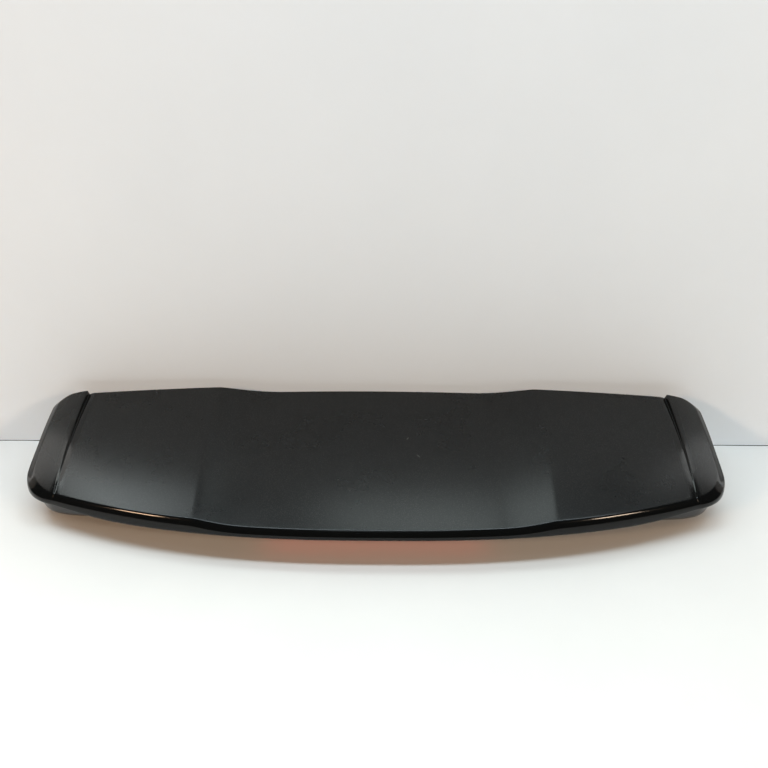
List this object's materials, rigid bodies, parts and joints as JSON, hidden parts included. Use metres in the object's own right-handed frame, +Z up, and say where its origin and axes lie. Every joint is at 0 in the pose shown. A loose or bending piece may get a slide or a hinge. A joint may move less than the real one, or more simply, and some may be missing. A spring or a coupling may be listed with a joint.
{
  "type": "tailgate spoiler",
  "caption": "Gloss black tailgate spoiler with a recessed centre, raised end caps, a downturned lip, a brake lamp under the lip and fixing studs beneath.",
  "frame": {"origin": "centre of the bounding box at the stud tips", "axes": "+X across the car, +Y from the lip toward the roof, +Z up"},
  "size_m": [1.2352, 0.335, 0.1452],
  "materials": {
    "gloss_black": "gloss",
    "lower_black": "satin",
    "red_lens": "gloss",
    "lamp_grey": "matte",
    "board_green": "satin",
    "led_white": "gloss",
    "zinc_steel": "zinc plated",
    "clip_nylon": "matte",
    "black_rubber": "matte",
    "black_foam": "matte"
  },
  "bodies": {
    "root": {"upper_skin": "gloss_black", "lower_skin": "lower_black", "mounting_studs": "zinc_steel", "stud_seals": "black_foam", "push_clips": "clip_nylon", "cable_grommet": "black_rubber", "lamp_lens": "red_lens", "lamp_gasket": "black_foam", "lamp_housing": "lamp_grey", "lamp_board": "board_green", "lamp_leds": "led_white", "lamp_screws": "zinc_steel", "lamp_connector": "lamp_grey", "roof_edge_seal": "black_rubber", "side_seal_left": "black_foam", "side_seal_right": "black_foam"}
  },
  "joints": []
}
